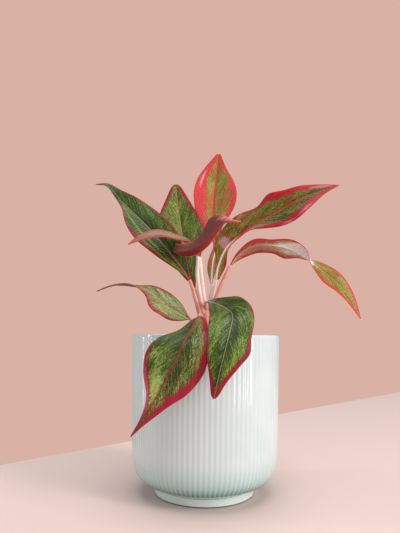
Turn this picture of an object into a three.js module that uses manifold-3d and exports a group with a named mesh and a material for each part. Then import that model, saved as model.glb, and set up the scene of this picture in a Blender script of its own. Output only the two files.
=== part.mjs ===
// A small red-edged chinese evergreen in a fluted ceramic pot.
// Millimetres, +Z up. The origin is the centre of the pot's foot, on the surface it stands on.
// The plant is seen from -Y: +X is its right hand side and +Y its back.

import * as THREE from "three";
import { mergeVertices } from "three/addons/utils/BufferGeometryUtils.js";
import Module from "manifold-3d";

const wasm = await Module();
wasm.setup();

// Driving dimensions of the pot.
const POT_HEIGHT = 150;
const POT_RADIUS = 70;
const WALL_FOOT_RADIUS = 69.2; // where the straight wall turns in
const WALL_FOOT_HEIGHT = 42.3;
const TURN_HANDLES = [[59.1, 14], [69.2, 13.5]]; // radius and height of the two handles of the turn's curve
const FOOT_RADIUS = 47.6;
const FOOT_HEIGHT = 8;
const FOOT_CHAMFER = 0.8;
const LIP_HEIGHT = 2.6; // smooth band above the reeds
const LIP_ROUND = 0.9;
const REEDS = 96; // rounded upright ribs round the outside
const REED_DEPTH = 0.8;
const WALL = 4.6;
const FLOOR = 9; // the inside floor's height over the table
const CAVITY_SIDES = 64;
const CAVITY_TURN = { radius: 59.4, height: 24 }; // a point of the inside between its floor and its wall
const CAVITY_FLOOR_RADIUS = 40.6;
const CAVITY_WALL_BOTTOM = 46.3; // the inside wall is upright from here
const TURN_STEPS = 5; // of the curve between the foot and the wall

// Soil and the plant's main sizes.
const GAP = 0.3; // clearance between pieces that touch
const STALK_GAP = 0.8; // a stalk stops this far short of its blade
const SOIL_LEVEL = 137;
const SOIL_CROWN = 4; // the soil stands higher round the stem
const SOIL_CROWN_RADIUS = 11.5;
const STEM_RADIUS = 5.2;
const STEM_BOTTOM = 96;
const STALK_RADIUS = [2.5, 2.2, 1.9, 1.7];
const BLADE_THICKNESS = 0.9;
const KEEL = [0.9, 0.7, 0.4, 0.1]; // how far the rib stands out under the blade, base to tip
const BLADE_ROWS = 20;
const BLADE_COLUMNS = 3; // on each side of the rib
const BAR_ROWS = 9;
const STEM_SIDES = 12;
const STALK_SIDES = 8;

// The stem's own line, from its cut root end in the soil to the crown.
const STEM_LINE = [[0, 0, STEM_BOTTOM], [0, 0, 141], [0, 0, 150], [-0.5, -1.5, 165], [-1.5, -2, 181]];

// One entry for each leaf. stalk: points from inside the stem to the blade. rib: points along the blade.
// face: the way the upper side looks, from base to tip. left and right: half widths, seen from above
// with the tip ahead. lift: the slope in degrees at which a half leaves the rib. curl: how many degrees
// it turns further by its margin. wave: how high the margin ripples, and waves: how many times.
const LEAVES = [
  {
    name: "leaf_upper_left",
    color: 0x4d6b35,
    stalk: [[-4.5, -5, 165], [-9.5, -7, 182]],
    rib: [[-16.5, -9, 202.5], [-32.5, -9, 224.5], [-55, -3, 251], [-81.5, 6, 278], [-97, 11, 295.5],
      [-110.5, 12, 298]],
    face: [[-0.2, -0.75, 0.6], [-0.2, -0.8, 0.6], [-0.2, -0.8, 0.55], [-0.3, -0.8, 0.5]],
    left: [0.8, 8, 15, 18.5, 15, 5, 2.2, 0.4],
    right: [0.8, 10, 17.5, 18, 16.5, 12, 4.5, 0.4],
    wave: 0.9,
    waves: 3,
  },
  {
    name: "leaf_upper_back",
    color: 0x5b7438,
    stalk: [[-3, 2, 168], [-6, 3, 183.5]],
    rib: [[-11, 4, 195.5], [-18.5, 8, 217.5], [-23.3, 14, 244], [-28, 20, 272.5], [-31.5, 22, 302]],
    face: [[0.1, -0.9, 0.4], [0, -0.9, 0.45], [0.1, -0.85, 0.5]],
    left: [0.8, 8.5, 16, 20, 23, 20, 12.5, 1],
    right: [0.8, 7.5, 15, 22, 22.5, 17.5, 11.5, 1],
    wave: 0.8,
    waves: 3,
  },
  {
    name: "leaf_centre_red",
    color: 0xc64a45,
    stalk: [[0, 4, 170], [2.5, 6, 185]],
    rib: [[5, 8, 200], [6.5, 10, 220], [9.5, 15, 239.5], [7, 24, 270.5], [8, 28, 292.5], [10.5, 31, 319],
      [12, 30, 336]],
    face: [[0, -0.95, 0.3], [0, -0.9, 0.4], [0, -0.9, 0.45]],
    left: [0.8, 5, 4.5, 2.8, 10, 16.5, 20, 21.5, 19, 12, 2],
    right: [0.8, 3.5, 2.5, 1, 6.5, 15.5, 21.5, 23, 18.5, 9.5, 2],
    wave: 0.9,
    waves: 3,
  },
  {
    name: "leaf_rolled",
    color: 0x6d4a45,
    stalk: [[0, -2, 171], [-2, -3, 186], [-5, -3, 210.5]],
    rib: [[-7, -3, 224], [-16.5, -9, 230], [-29, -18, 229], [-28, -27.5, 225], [-15, -32.5, 225.5],
      [-3.5, -35, 232], [7, -38, 242.5], [16.5, -39, 249.5], [29.5, -40, 249.5]],
    face: [[0, -1, 0.3], [0.2, -0.95, 0.3], [1, -0.1, 0.3], [0.6, 0.8, 0.3], [0.3, 0.95, 0.3],
      [0.2, 0.95, 0.4], [0.1, 0.95, 0.5], [0, 0.9, 0.6]],
    left: [0.8, 3.8, 5.4, 6, 6.5, 8, 9, 9, 7.5, 5, 2, 0.4],
    right: [0.8, 3.8, 5, 6, 7.5, 10, 11, 12.5, 16, 19, 4, 0.4],
    liftLeft: [10, 20, 30, 30],
    liftRight: [10, 20, 30, 25],
    curlLeft: [20, 40, 50, 60],
    curlRight: [20, 40, 50, 80],
    rows: 26,
  },
  {
    name: "leaf_thin_left",
    color: 0x8c5a4e,
    stalk: [[-2.5, -4, 169.5], [-5.5, -5, 186], [-8.5, -6, 206.5]],
    rib: [[-8.5, -9, 224.5], [-13.5, -17, 234.5], [-26.5, -23, 237], [-42, -29, 239], [-56.5, -33, 235.5],
      [-70, -36, 229.5]],
    face: [[-0.6, -0.3, 0.7], [-0.2, -0.25, 1], [0, -0.2, 1], [0, -0.25, 1]],
    left: [0.8, 3, 5.2, 8.5, 7, 4, 0.4],
    right: [0.8, 7, 12, 14, 13, 8, 0.4],
    liftLeft: [-5],
    liftRight: [30],
  },
  {
    name: "leaf_right",
    color: 0x5d6733,
    stalk: [[2, 4, 170], [5.5, 4, 185]],
    rib: [[9.5, 3, 204], [12.5, 2, 218.5], [19.5, 0, 234], [32, -3, 245.5], [43.5, -6, 254], [65.5, -12, 265.5],
      [86, -18, 276.5], [108, -22, 284], [120, -24, 287.5]],
    face: [[0, -0.95, 0.3], [0, -0.9, 0.4], [0, -0.85, 0.5]],
    left: [0.8, 3, 12, 17, 17, 15, 20.5, 15.5, 12.5, 7, 0.4],
    right: [3, 7, 3, 1.5, 3.5, 11.5, 18, 20, 15, 5.5, 0.4],
    wave: 0.8,
    waves: 3,
    rows: 24,
  },
  {
    name: "leaf_right_drooping",
    color: 0xa08a6b,
    stalk: [[3.5, 0, 170], [8.5, -2, 183.5], [15, -5, 199.5]],
    rib: [[23, -9, 216], [32, -13, 227], [44.5, -19, 232.5], [58.5, -25, 231.5], [72, -31, 227.5], [88.5, -37, 218],
      [101.5, -42, 206], [114, -45, 195], [124, -46, 182], [133, -47, 165]],
    face: [[-0.3, 0.9, 0.2], [-0.2, 0.9, 0.4], [0, 0.8, 0.5], [0.1, 0.8, 0.5], [0.1, 0.85, 0.4], [0.4, 0.5, 0.9],
      [0.4, -0.8, 0.5], [0.4, -0.9, 0.3], [0.4, -0.8, 0.4], [0.4, -0.8, 0.5], [0.4, -0.8, 0.5]],
    left: [0.8, 7, 8.5, 8, 9.5, 5, 7, 9.5, 8.5, 5, 0.4],
    right: [0.8, 3, 6.2, 5.8, 9, 9.5, 7, 11.5, 10.5, 6, 0.4],
    rows: 30,
  },
  {
    name: "leaf_lower_left",
    color: 0x63784a,
    stalk: [[-1, -4, 157], [-7, -12.5, 161.5]],
    rib: [[-15, -20, 164.5], [-26.5, -27, 171.5], [-39, -34, 180.5], [-51, -38, 189], [-64.5, -40, 192],
      [-81, -41, 192.5], [-96.5, -41, 187]],
    face: [[-0.1, -0.8, 0.6], [-0.1, -0.75, 0.6], [-0.1, -0.6, 0.8], [-0.2, 0, 1], [-0.2, 0.2, 1]],
    left: [0.8, 12, 19, 20, 12, 6, 2, 0.4],
    right: [0.8, 8.5, 11, 8, 5, 4, 2, 0.4],
    wave: 0.7,
    waves: 3,
  },
  {
    name: "leaf_front_left",
    color: 0x56703a,
    stalk: [[-1.5, -4, 161], [-5, -20, 168]],
    rib: [[-6.5, -38, 166], [-10.5, -60, 158], [-17.5, -80, 144], [-25.5, -86, 128], [-33.5, -87, 111],
      [-44, -87, 92], [-59, -84, 69.5]],
    face: [[-0.2, -0.3, 1], [-0.2, -0.6, 0.8], [-0.2, -0.9, 0.3], [-0.2, -0.95, 0.2], [-0.2, -1, 0]],
    left: [0.8, 9.5, 15, 22.5, 24.5, 20.5, 11, 4.5, 0.4],
    right: [0.8, 5, 10, 19, 24, 19.5, 7, 2.2, 0.4],
    liftLeft: [15, 10, -2, -4, 0, 5],
    wave: 0.9,
    waves: 3,
  },
  {
    name: "leaf_front_right",
    color: 0x4f6a37,
    stalk: [[0, 0, 172], [-0.5, -8, 178]],
    rib: [[0.5, -18, 181], [10, -38, 177], [18, -59, 171], [20.5, -78, 164.5], [17, -92, 151], [13.5, -98, 138],
      [9, -98, 119], [5.5, -94, 101]],
    face: [[-0.2, -0.5, 1], [-0.2, -0.6, 0.9], [0, -0.9, 0.7], [0.1, -1, 0.3], [0.1, -1, 0.1], [0.1, -1, 0]],
    left: [0.8, 6.5, 10.5, 14.8, 16, 17, 17.3, 19.5, 13.8, 7, 0.4],
    right: [0.8, 5, 11.5, 17.5, 19.3, 19.3, 17.5, 15, 11.5, 6, 0.4],
    liftLeft: [20, 30, 30, 5, -6, -6],
    liftRight: [-8, -8, -10, -14, -14, -10],
    rows: 26,
  },
];
const LIFT = [15]; // slope and curl of a half that its entry doesn't give
const CURL = [-10];

// A value that runs smoothly through evenly spaced keys: t is 0 at the first and 1 at the last.
function keyed(keys, t) {
  const last = keys.length - 1;
  if (last === 0) return keys[0];
  const at = Math.min(Math.max(t, 0), 1) * last;
  const i = Math.min(Math.floor(at), last - 1);
  const f = at - i;
  const before = i > 0 ? keys[i - 1] : 2 * keys[0] - keys[1];
  const after = i + 2 <= last ? keys[i + 2] : 2 * keys[last] - keys[last - 1];
  const slopeA = (keys[i + 1] - before) / 2;
  const slopeB = (after - keys[i]) / 2;
  const f2 = f * f;
  const f3 = f2 * f;
  return (2 * f3 - 3 * f2 + 1) * keys[i] + (f3 - 2 * f2 + f) * slopeA
    + (3 * f2 - 2 * f3) * keys[i + 1] + (f3 - f2) * slopeB;
}

// Evenly spaced points along the part of a line of points from its point number from to number to.
function evenPoints(points, from, to, count, trim = 0) {
  const curve = new THREE.CatmullRomCurve3(points.map((p) => new THREE.Vector3(...p)), false, "catmullrom", 0.5);
  const steps = 400;
  const spans = points.length - 1;
  const knots = [];
  const lengths = [0];
  for (let i = 0; i <= steps; i++) {
    knots.push(curve.getPoint((from + ((to - from) * i) / steps) / spans));
    if (i > 0) lengths.push(lengths[i - 1] + knots[i].distanceTo(knots[i - 1]));
  }
  const whole = lengths[steps] - trim;
  const even = [];
  let k = 0;
  for (let i = 0; i < count; i++) {
    const want = (whole * i) / (count - 1);
    while (k < steps - 1 && lengths[k + 1] < want) k++;
    const share = (want - lengths[k]) / (lengths[k + 1] - lengths[k]);
    even.push(knots[k].clone().lerp(knots[k + 1], share));
  }
  return even;
}

// The direction of travel at each of a list of points.
function tangents(points) {
  return points.map((_, i) => {
    const a = points[Math.max(i - 1, 0)];
    const b = points[Math.min(i + 1, points.length - 1)];
    return b.clone().sub(a).normalize();
  });
}

// A closed mesh from rows of points that close round, with a flat cap at each end.
function tubeGeometry(rings) {
  const sides = rings[0].length;
  const positions = rings.flat().flatMap((p) => [p.x, p.y, p.z]);
  const index = [];
  for (let i = 0; i < rings.length - 1; i++) {
    for (let j = 0; j < sides; j++) {
      const a = i * sides + j;
      const b = i * sides + ((j + 1) % sides);
      index.push(a, b, a + sides, b, b + sides, a + sides);
    }
  }
  const top = (rings.length - 1) * sides;
  for (let j = 1; j < sides - 1; j++) {
    index.push(0, j + 1, j);
    index.push(top, top + j, top + j + 1);
  }
  const geometry = new THREE.BufferGeometry();
  geometry.setAttribute("position", new THREE.Float32BufferAttribute(positions, 3));
  geometry.setIndex(index);
  return geometry;
}

// A round bar that tapers along a line of points.
function bar(points, radii, sides) {
  const along = tangents(points);
  const side = new THREE.Vector3(1, 0, 0);
  const rings = points.map((centre, i) => {
    const u = side.clone().addScaledVector(along[i], -side.dot(along[i])).normalize();
    const v = along[i].clone().cross(u);
    const radius = keyed(radii, i / (points.length - 1));
    return Array.from({ length: sides }, (_, j) => {
      const angle = (2 * Math.PI * j) / sides;
      return centre.clone().addScaledVector(u, radius * Math.cos(angle)).addScaledVector(v, radius * Math.sin(angle));
    });
  });
  return tubeGeometry(rings);
}

// A mesh with shared corners and no flattened triangles, as a solid for joining and cutting.
function solid(geometry) {
  const bare = geometry.clone();
  bare.deleteAttribute("normal");
  bare.deleteAttribute("uv");
  const merged = mergeVertices(bare, 1e-4);
  const ids = merged.index.array;
  const triVerts = [];
  for (let i = 0; i < ids.length; i += 3) {
    const [a, b, c] = [ids[i], ids[i + 1], ids[i + 2]];
    if (a !== b && b !== c && c !== a) triVerts.push(a, b, c);
  }
  return new wasm.Manifold(new wasm.Mesh({
    numProp: 3,
    vertProperties: new Float32Array(merged.attributes.position.array),
    triVerts: new Uint32Array(triVerts),
  }));
}

function geometryOf(manifold) {
  const mesh = manifold.getMesh();
  const geometry = new THREE.BufferGeometry();
  geometry.setAttribute("position", new THREE.Float32BufferAttribute(mesh.vertProperties, 3));
  geometry.setIndex(Array.from(mesh.triVerts));
  return geometry;
}

// A turned shape: profile holds [radius, height] from the axis at the bottom to the axis at the top.
function turned(profile, sides) {
  const geometry = new THREE.LatheGeometry(profile.map(([r, z]) => new THREE.Vector2(r, z)), sides);
  geometry.rotateX(Math.PI / 2);
  return geometry;
}

// The pot's outside: a turned cup whose every second corner lies deeper, which makes the reeds.
// reed says how deep they are at each height of the profile.
function pot() {
  const turn = new THREE.CubicBezierCurve(
    new THREE.Vector2(FOOT_RADIUS, FOOT_HEIGHT),
    new THREE.Vector2(...TURN_HANDLES[0]),
    new THREE.Vector2(...TURN_HANDLES[1]),
    new THREE.Vector2(WALL_FOOT_RADIUS, WALL_FOOT_HEIGHT),
  );
  const outside = [
    { r: 0, z: 0, reed: 0 },
    { r: FOOT_RADIUS - FOOT_CHAMFER, z: 0, reed: 0 },
    { r: FOOT_RADIUS, z: FOOT_CHAMFER, reed: 0 },
  ];
  for (let i = 0; i <= TURN_STEPS; i++) {
    const share = i / TURN_STEPS;
    const p = turn.getPoint(share);
    outside.push({ r: p.x, z: p.y, reed: REED_DEPTH * Math.min(1, share * 2) });
  }
  const lipBottom = POT_HEIGHT - LIP_HEIGHT;
  outside.push({ r: POT_RADIUS, z: lipBottom - LIP_ROUND, reed: REED_DEPTH });
  outside.push({ r: POT_RADIUS, z: lipBottom, reed: 0 });
  outside.push({ r: POT_RADIUS, z: POT_HEIGHT - LIP_ROUND, reed: 0 });
  outside.push({ r: POT_RADIUS - LIP_ROUND, z: POT_HEIGHT, reed: 0 });
  outside.push({ r: 0, z: POT_HEIGHT, reed: 0 });

  const body = turned(outside.map(({ r, z }) => [r, z]), REEDS * 2);
  const position = body.attributes.position;
  for (let i = 0; i < position.count; i++) {
    const corner = Math.floor(i / outside.length);
    const { r, reed } = outside[i % outside.length];
    if (corner % 2 === 0 || reed === 0) continue;
    const share = (r - reed) / r;
    position.setX(i, position.getX(i) * share);
    position.setY(i, position.getY(i) * share);
  }
  const above = POT_HEIGHT + WALL; // the cut runs out over the lip
  const inside = turned([[0, FLOOR], ...cavityProfile(0), [POT_RADIUS - WALL, above], [0, above]], CAVITY_SIDES);
  return geometryOf(solid(body).subtract(solid(inside)));
}

// The inside from the floor's edge to the upright wall. clear is how far the line is drawn in from it.
function cavityProfile(clear) {
  return [
    [CAVITY_FLOOR_RADIUS - clear, FLOOR + clear],
    [CAVITY_TURN.radius - clear, CAVITY_TURN.height + clear],
    [POT_RADIUS - WALL - clear, CAVITY_WALL_BOTTOM],
  ];
}

// The soil fills the inside up to its level, with a plain hole that the stem stands in.
function soil() {
  const top = POT_RADIUS - WALL - GAP;
  const hole = STEM_RADIUS + GAP;
  return turned([
    [0, FLOOR + GAP],
    ...cavityProfile(GAP),
    [top, SOIL_LEVEL],
    [SOIL_CROWN_RADIUS, SOIL_LEVEL + SOIL_CROWN],
    [hole, SOIL_LEVEL + SOIL_CROWN],
    [hole, STEM_BOTTOM - GAP],
    [0, STEM_BOTTOM - GAP],
  ], CAVITY_SIDES / 2);
}

// The stem and the leaf stalks, which grow from it as one body.
function stemAndStalks() {
  const stemRadii = [STEM_RADIUS, STEM_RADIUS, STEM_RADIUS, STEM_RADIUS * 0.95, STEM_RADIUS * 0.6];
  let plant = solid(bar(evenPoints(STEM_LINE, 0, STEM_LINE.length - 1, BAR_ROWS), stemRadii, STEM_SIDES));
  for (const leaf of LEAVES) {
    const path = [...leaf.stalk, ...leaf.rib];
    const points = evenPoints(path, 0, leaf.stalk.length, BAR_ROWS, STALK_GAP);
    plant = plant.add(solid(bar(points, STALK_RADIUS, STALK_SIDES)));
  }
  return geometryOf(plant);
}

// One leaf's blade: rows of points across the rib, with the lower side a leaf's thickness under the
// upper one. A half is an arc that leaves the rib at its lift and turns by its curl, so a point at the
// share x of the half width w lies w (sin(lift + curl x) - sin lift) / curl out, and
// w (cos lift - cos(lift + curl x)) / curl up.
function blade(leaf) {
  const rows = leaf.rows ?? BLADE_ROWS;
  const path = [...leaf.stalk, ...leaf.rib];
  const rib = evenPoints(path, leaf.stalk.length, path.length - 1, rows);
  const along = tangents(rib);
  const columns = 2 * BLADE_COLUMNS + 1;
  const rad = Math.PI / 180;
  const grid = rib.map((centre, i) => {
    const t = i / (rows - 1);
    const face = new THREE.Vector3(...[0, 1, 2].map((k) => keyed(leaf.face.map((f) => f[k]), t)));
    const up = face.addScaledVector(along[i], -face.dot(along[i])).normalize();
    const out = along[i].clone().cross(up);
    return Array.from({ length: columns }, (_, j) => {
      const v = (j - BLADE_COLUMNS) / BLADE_COLUMNS;
      const share = Math.abs(v);
      const isLeft = v < 0;
      const width = keyed(isLeft ? leaf.left : leaf.right, t);
      const lift = rad * keyed((isLeft ? leaf.liftLeft : leaf.liftRight) ?? LIFT, t);
      const curl = rad * keyed((isLeft ? leaf.curlLeft : leaf.curlRight) ?? CURL, t);
      const x = (width * (Math.sin(lift + curl * share) - Math.sin(lift))) / curl;
      const z = (width * (Math.cos(lift) - Math.cos(lift + curl * share))) / curl;
      const turn = 2 * Math.PI * (leaf.waves ?? 0) * t + (isLeft ? Math.PI / 2 : 0);
      const ripple = (leaf.wave ?? 0) * share * share * Math.sin(turn) * Math.sin(Math.PI * t);
      return centre.clone().addScaledVector(out, Math.sign(v) * x).addScaledVector(up, z + ripple);
    });
  });
  return slab(grid, (t, v) => keyed(KEEL, t) * Math.max(0, 1 - Math.abs(v) * BLADE_COLUMNS));
}

// A thin solid on both sides of a grid of points. keel says how far it is thickened underneath.
function slab(grid, keel) {
  const rows = grid.length;
  const columns = grid[0].length;
  const positions = [];
  for (const sideOf of [1, -1]) {
    for (let i = 0; i < rows; i++) {
      for (let j = 0; j < columns; j++) {
        const ahead = grid[Math.min(i + 1, rows - 1)][j].clone().sub(grid[Math.max(i - 1, 0)][j]);
        const across = grid[i][Math.min(j + 1, columns - 1)].clone().sub(grid[i][Math.max(j - 1, 0)]);
        const normal = across.cross(ahead).normalize();
        const v = (2 * j) / (columns - 1) - 1;
        const extra = sideOf < 0 ? keel(i / (rows - 1), v) : 0;
        const p = grid[i][j].clone().addScaledVector(normal, sideOf * (BLADE_THICKNESS / 2 + extra));
        positions.push(p.x, p.y, p.z);
      }
    }
  }
  const index = [];
  const under = rows * columns;
  const at = (i, j) => i * columns + j;
  for (let i = 0; i < rows - 1; i++) {
    for (let j = 0; j < columns - 1; j++) {
      const [a, b, c, d] = [at(i, j), at(i, j + 1), at(i + 1, j), at(i + 1, j + 1)];
      const pairs = (i + j) % 2 ? [[a, b, c], [b, d, c]] : [[a, b, d], [a, d, c]];
      for (const [p, q, r] of pairs) index.push(p, q, r, under + p, under + r, under + q);
    }
  }
  const edge = [];
  for (let j = 0; j < columns - 1; j++) edge.push(at(0, j));
  for (let i = 0; i < rows - 1; i++) edge.push(at(i, columns - 1));
  for (let j = columns - 1; j > 0; j--) edge.push(at(rows - 1, j));
  for (let i = rows - 1; i > 0; i--) edge.push(at(i, 0));
  edge.forEach((p, k) => {
    const q = edge[(k + 1) % edge.length];
    index.push(p, under + p, q, q, under + p, under + q);
  });
  const geometry = new THREE.BufferGeometry();
  geometry.setAttribute("position", new THREE.Float32BufferAttribute(positions, 3));
  geometry.setIndex(index);
  return geometry;
}

function named(name, geometry, color, roughness) {
  const mesh = new THREE.Mesh(geometry, new THREE.MeshStandardMaterial({ color, roughness, metalness: 0 }));
  mesh.name = name;
  return mesh;
}

const plantInPot = new THREE.Group();
plantInPot.add(named("pot", pot(), 0xe3e6df, 0.15));
plantInPot.add(named("soil", soil(), 0x3b2c22, 0.95));
plantInPot.add(named("stem_and_stalks", stemAndStalks(), 0xe0bfae, 0.4));
for (const leaf of LEAVES) {
  plantInPot.add(named(leaf.name, blade(leaf), leaf.color, 0.35));
}

export default plantInPot;
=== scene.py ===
# %% [markdown]
# # A red-edged chinese evergreen in a glazed pot
#
# This lesson dresses a finished model of a small potted plant. The solids already have the real size
# and place, and they stay as they are. Each one gets a finer surface here, worked out as arrays of
# points, with colour, gloss and small relief.
#
# The frame is in metres, with +Z up and the origin under the middle of the pot's foot. The camera
# looks along +Y, so +X is the right hand side of the picture.

# %% Load the frame
import math

import bpy
import numpy as np
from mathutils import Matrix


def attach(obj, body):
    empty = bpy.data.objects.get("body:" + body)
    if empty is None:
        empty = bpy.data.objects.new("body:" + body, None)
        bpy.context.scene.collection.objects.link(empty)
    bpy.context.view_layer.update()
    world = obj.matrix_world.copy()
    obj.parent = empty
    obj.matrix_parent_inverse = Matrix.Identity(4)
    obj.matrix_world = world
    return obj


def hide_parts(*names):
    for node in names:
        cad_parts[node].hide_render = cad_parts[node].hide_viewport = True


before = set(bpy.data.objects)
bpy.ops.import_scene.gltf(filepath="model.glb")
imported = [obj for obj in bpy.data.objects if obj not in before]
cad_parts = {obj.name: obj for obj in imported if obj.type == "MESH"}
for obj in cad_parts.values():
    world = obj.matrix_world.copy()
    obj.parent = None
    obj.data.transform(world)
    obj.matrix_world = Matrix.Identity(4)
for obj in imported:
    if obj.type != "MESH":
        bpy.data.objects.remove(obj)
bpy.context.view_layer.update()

MM = 0.001

# %% [markdown]
# ## Lines and lists of values
#
# A leaf is easier to shape by a few values along its rib than by moving points. Blender's own curves
# could hold the rib, but then the width, the tilt and the colour would live in other places. Here one
# function runs smoothly through any list of values, and another walks along a line in even steps.

# %% Smooth lists and even steps
def keyed(keys, t):
    """Values that run smoothly through evenly spaced keys, at shares t from 0 to 1.

    Between two keys it is the cubic that starts and ends with half the step between their outer
    neighbours as its slope. Past either end the list goes on in a straight line.
    """
    keys = np.asarray(keys, float)
    t = np.asarray(t, float)
    if len(keys) == 1:
        return np.broadcast_to(keys[0], t.shape + keys.shape[1:])
    line = np.concatenate([[2 * keys[0] - keys[1]], keys, [2 * keys[-1] - keys[-2]]])
    at = np.clip(t, 0, 1) * (len(keys) - 1)
    i = np.minimum(at.astype(int), len(keys) - 2)
    f = (at - i).reshape(t.shape + (1,) * (keys.ndim - 1))
    before, here, there, after = line[i], line[i + 1], line[i + 2], line[i + 3]
    return ((2 * f**3 - 3 * f**2 + 1) * here + (f**3 - 2 * f**2 + f) * (there - before) / 2
            + (3 * f**2 - 2 * f**3) * there + (f**3 - f**2) * (after - here) / 2)


def even_points(points, first, last, count):
    """Evenly spaced points on a smooth line, from its point number first to last, and the length.

    The line is walked in 400 small steps, whose lengths add up, and each wanted length is looked up.
    """
    knots = keyed(points, np.linspace(first, last, 401) / (len(points) - 1))
    lengths = np.concatenate([[0], np.cumsum(np.linalg.norm(np.diff(knots, axis=0), axis=1))])
    want = np.linspace(0, lengths[-1], count)
    return np.stack([np.interp(want, lengths, knots[:, k]) for k in range(3)], axis=1), lengths[-1]


def unit(vectors):
    """Vectors of length 1: each one divided by its length."""
    return vectors / np.linalg.norm(vectors, axis=-1, keepdims=True)


def tangents(points):
    """The direction of travel at each point: from the point before it to the point after it."""
    ends = np.concatenate([points[:1], points, points[-1:]])
    return unit(ends[2:] - ends[:-2])


def smoothstep(x, low, high):
    """0 below low, 1 above high, and an S-shaped rise between them."""
    f = np.clip((x - low) / (high - low), 0, 1)
    return f * f * (3 - 2 * f)


print("keyed([0, 2, 1], 0.5) =", float(keyed([0, 2, 1], 0.5)))

# %% [markdown]
# ## From arrays to a mesh
#
# Every piece here is a stack of rings, so one rule makes all faces: a quad joins two neighbours on a
# ring with the two above them. Values that the materials need, such as the distance from a leaf's
# edge, are stored on the mesh as attributes, one number for each point.

# %% Rings, caps and attributes
def ring_quads(rings, sides):
    """Quads between neighbouring rings that close round: a, b on one ring and b, a on the next."""
    i, j = np.meshgrid(np.arange(rings - 1), np.arange(sides), indexing="ij")
    a = i * sides + j
    b = i * sides + (j + 1) % sides
    return np.stack([a, b, b + sides, a + sides], axis=-1).reshape(-1, 4).tolist()


def end_caps(rings, sides):
    """Two faces with as many corners as a ring has, which close the first ring and the last."""
    last = (rings - 1) * sides
    return [list(range(sides))[::-1], list(range(last, last + sides))]


def new_piece(name, points, faces, values=None, uvs=None):
    """A smooth mesh object in the frame, from points in millimetres, its faces, values and UV maps."""
    mesh = bpy.data.meshes.new(name)
    mesh.from_pydata((np.asarray(points).reshape(-1, 3) * MM).tolist(), [], faces)
    mesh.polygons.foreach_set("use_smooth", np.ones(len(mesh.polygons), bool))
    for key, numbers in (values or {}).items():
        layer = mesh.attributes.new(key, "FLOAT", "POINT")
        layer.data.foreach_set("value", np.ascontiguousarray(numbers, np.float32).ravel())
    corners = np.empty(len(mesh.loops), np.int32)
    mesh.loops.foreach_get("vertex_index", corners)
    for key, places in (uvs or {}).items():
        layer = mesh.uv_layers.new(name=key)
        layer.uv.foreach_set("vector", np.asarray(places, np.float32).reshape(-1, 2)[corners].ravel())
    mesh.update()
    piece = bpy.data.objects.new(name, mesh)
    bpy.context.scene.collection.objects.link(piece)
    return piece


def place(piece, node, material):
    """The piece rides with the pot, stands for its node, and gets its slot and its material."""
    piece.data.materials.append(material)
    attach(piece, "root")
    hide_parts(node)
    print(f"{piece.name}: {sum(len(p.vertices) - 2 for p in piece.data.polygons)} triangles")


# %% [markdown]
# ## A short way to write node set-ups
#
# A material is a graph of nodes. Written with Blender's own calls, each node takes four or five lines,
# so this small class adds a node, sets its values and links its sockets in one call.

# %% Node helper and colours
def srgb(red, green, blue):
    """A colour as read off a screen, 0 to 255, turned into the linear values that shaders take."""
    c = np.array([red, green, blue]) / 255
    return (*np.where(c <= 0.04045, c / 12.92, ((c + 0.055) / 1.055) ** 2.4).tolist(), 1.0)


def linear(value):
    """A triple made linear by srgb, and a number as it is."""
    return srgb(*value) if isinstance(value, tuple) else value


class Graph:
    """Adds nodes to one node tree. A value that is a socket is linked, and any other is set."""

    def __init__(self, tree):
        self.tree = tree
        self.tree.nodes.clear()

    def add(self, kind, inputs=None, **settings):
        node = self.tree.nodes.new(kind)
        for key, value in settings.items():
            setattr(node, key, value)
        for key, value in (inputs or {}).items():
            if isinstance(value, bpy.types.NodeSocket):
                self.tree.links.new(value, node.inputs[key])
            else:
                node.inputs[key].default_value = value
        return node

    def math(self, operation, a, b=0.0, clamp=False):
        node = self.add("ShaderNodeMath", {0: a, 1: b}, operation=operation, use_clamp=clamp)
        return node.outputs[0]

    def times(self, a, b, clamp=False):
        return self.math("MULTIPLY", a, b, clamp)

    def minus(self, a, b):
        return self.math("SUBTRACT", a, b)

    def plus(self, *values, clamp=False):
        """The sum of two or more values."""
        result = values[0]
        for value in values[1:]:
            result = self.math("ADD", result, value, clamp)
        return result

    def centred(self, noise, size):
        """A noise from 0 to 1 turned into one round 0, times a size."""
        return self.times(self.minus(noise, 0.5), size)

    def mix(self, factor, a, b):
        """The colour a where the factor is 0, and b where it is 1."""
        return self.add("ShaderNodeMix", {0: factor, 6: a, 7: b}, data_type="RGBA").outputs[2]

    def ramp(self, value, low, high, start=0.0, end=1.0):
        """An S-shaped rise from start at low to end at high."""
        node = self.add("ShaderNodeMapRange", {0: value, 1: low, 2: high, 3: start, 4: end},
                        interpolation_type="SMOOTHSTEP")
        return node.outputs[0]

    def noise(self, vector, scale, detail=2.0, rough=0.5):
        node = self.add("ShaderNodeTexNoise",
                        {"Vector": vector, "Scale": scale, "Detail": detail, "Roughness": rough})
        return node.outputs["Fac"]

    def scaled(self, vector, scale, offset=(0, 0, 0)):
        """A place stretched by a scale for each axis, and moved."""
        node = self.add("ShaderNodeVectorMath", {0: vector, 1: scale, 2: offset}, operation="MULTIPLY_ADD")
        return node.outputs[0]

    def value(self, name):
        """A number that is stored on the mesh."""
        return self.add("ShaderNodeAttribute", attribute_name=name).outputs["Fac"]


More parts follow.
